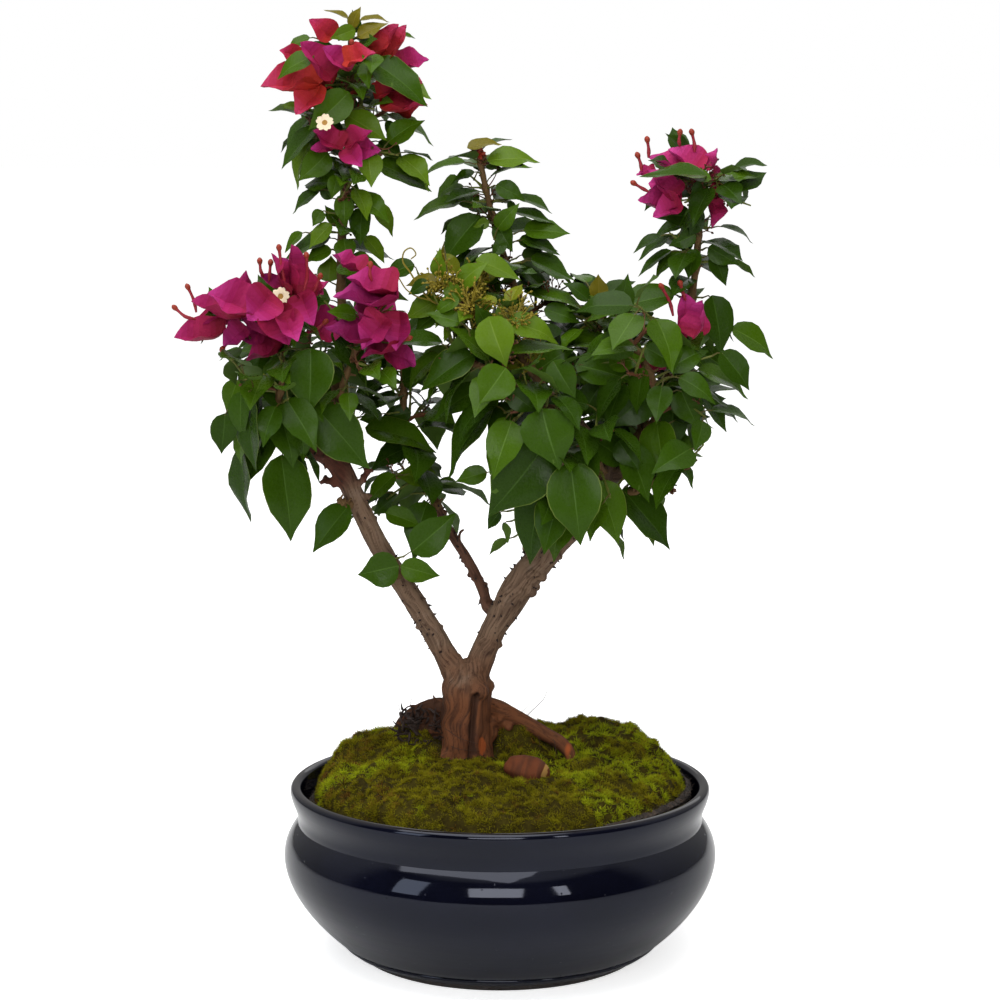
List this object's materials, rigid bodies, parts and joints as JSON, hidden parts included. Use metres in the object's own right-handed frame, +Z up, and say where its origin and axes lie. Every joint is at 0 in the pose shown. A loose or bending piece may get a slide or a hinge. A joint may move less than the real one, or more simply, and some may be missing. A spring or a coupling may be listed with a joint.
{
  "type": "bougainvillea bonsai in a pot",
  "caption": "Bougainvillea bonsai with a forked trunk, long leafy spires and magenta blossom, in a round black glazed pot with a rolled rim and a mound of moss.",
  "frame": {"origin": "centre of the pot's flat underside", "axes": "+Z up, with the plant's front towards -Y and its tallest spire towards -X"},
  "size_m": [0.3183, 0.24, 0.5192],
  "materials": {
    "pot_glaze": "gloss",
    "foot_clay": "matte",
    "moss": "matte",
    "soil": "matte",
    "bark": "matte",
    "leaf": "satin",
    "leaf_rib": "satin",
    "bract": "matte",
    "flower": "matte"
  },
  "bodies": {
    "root": {"pot": "pot_glaze", "moss_bed": "moss", "trunk": "bark", "root_stub": "bark", "left_bough": "bark", "right_bough": "bark", "rear_bough": "bark", "middle_branch": "bark", "crown_bough": "bark", "right_limb": "bark", "low_sprig": "leaf", "mid_sprig": "leaf", "left_drooping": "leaf", "left_blossom": "leaf", "inner_blossom": "leaf", "left_spire": "leaf", "left_back": "leaf", "middle_foliage": "leaf", "right_spire": "leaf", "rosette": "leaf", "centre_spire": "leaf", "crown_low_front": "leaf", "crown_front": "leaf", "crown_low_right": "leaf", "yellow_sprays": "leaf", "crown_left": "leaf", "crown_right": "leaf", "crown_back": "leaf", "crown_back_right": "leaf"}
  },
  "joints": []
}
